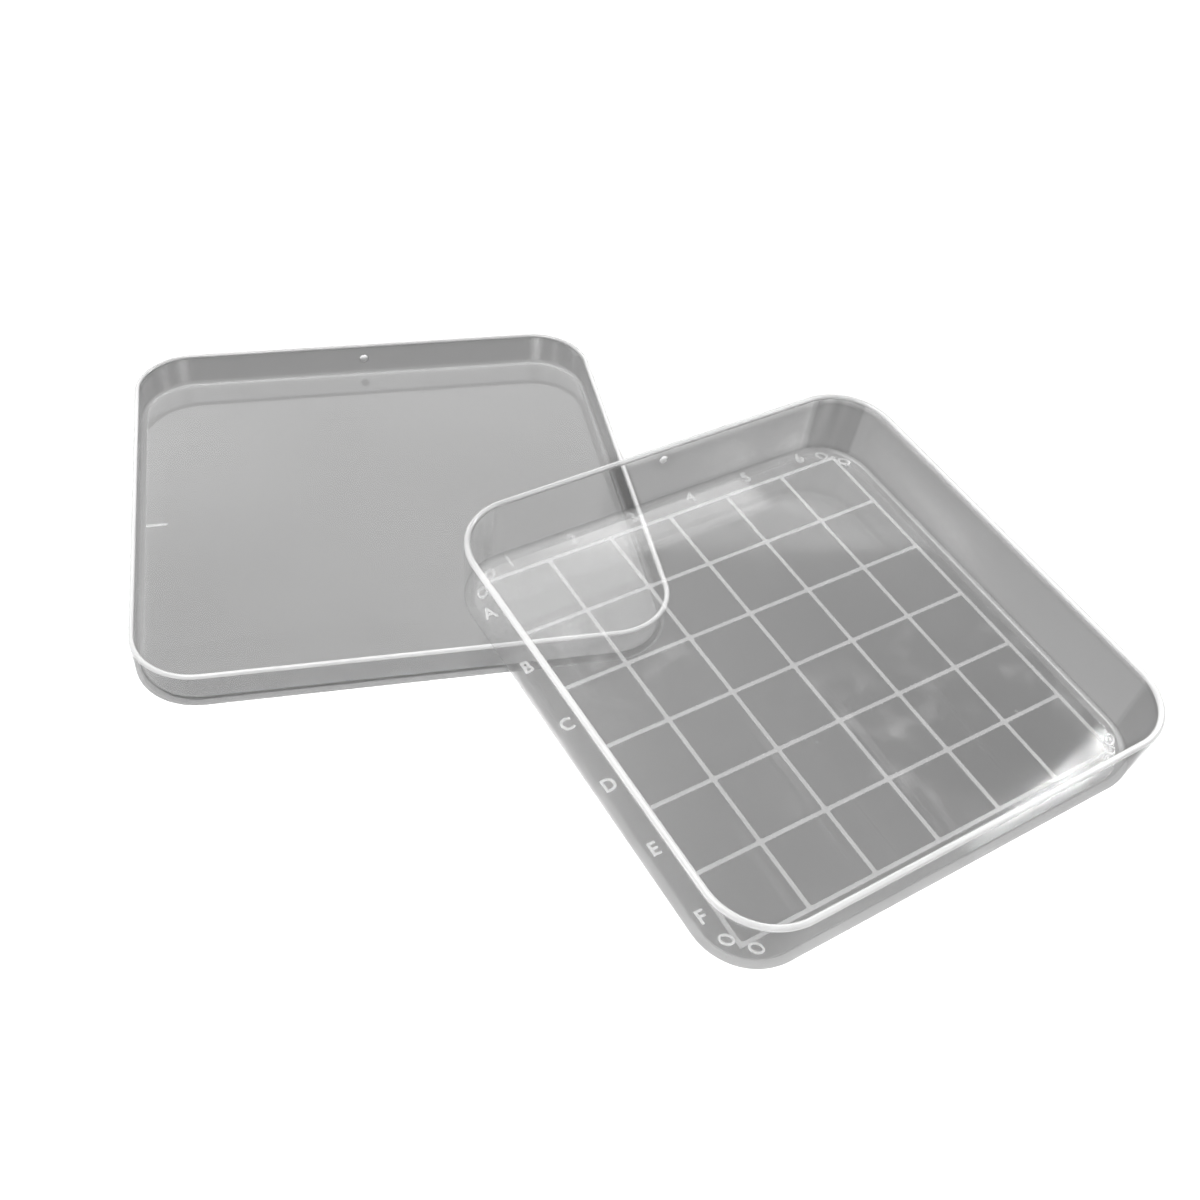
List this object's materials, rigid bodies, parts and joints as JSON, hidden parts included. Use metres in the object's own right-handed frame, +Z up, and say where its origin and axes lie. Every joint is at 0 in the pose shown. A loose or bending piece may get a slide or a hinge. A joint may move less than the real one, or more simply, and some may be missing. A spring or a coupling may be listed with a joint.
{
  "type": "square gridded dish with lid",
  "caption": "Clear moulded square dish with a gridded floor, leaning over one corner of its shallow square lid, which lies open side up.",
  "frame": {"origin": "bottom centre of the whole arrangement's box, on the table", "axes": "+Z up, +X and +Y along the lid's sides; the dish is turned 20 degrees and leans over the lid's corner at +X -Y"},
  "size_m": [0.1654, 0.1604, 0.0245],
  "materials": {
    "dish_plastic": "clear moulded polystyrene, glossy, with a faint grey haze",
    "lid_plastic": "clear moulded polystyrene, glossy, with a faint grey haze"
  },
  "bodies": {
    "lid": {"lid": "lid_plastic"},
    "dish": {"gridded_dish": "dish_plastic"}
  },
  "joints": [
    {"name": "dish_lift", "type": "slide", "parent": "lid", "child": "dish", "axis": [0, 0, 1], "range_m": [0, 0.04]}
  ]
}
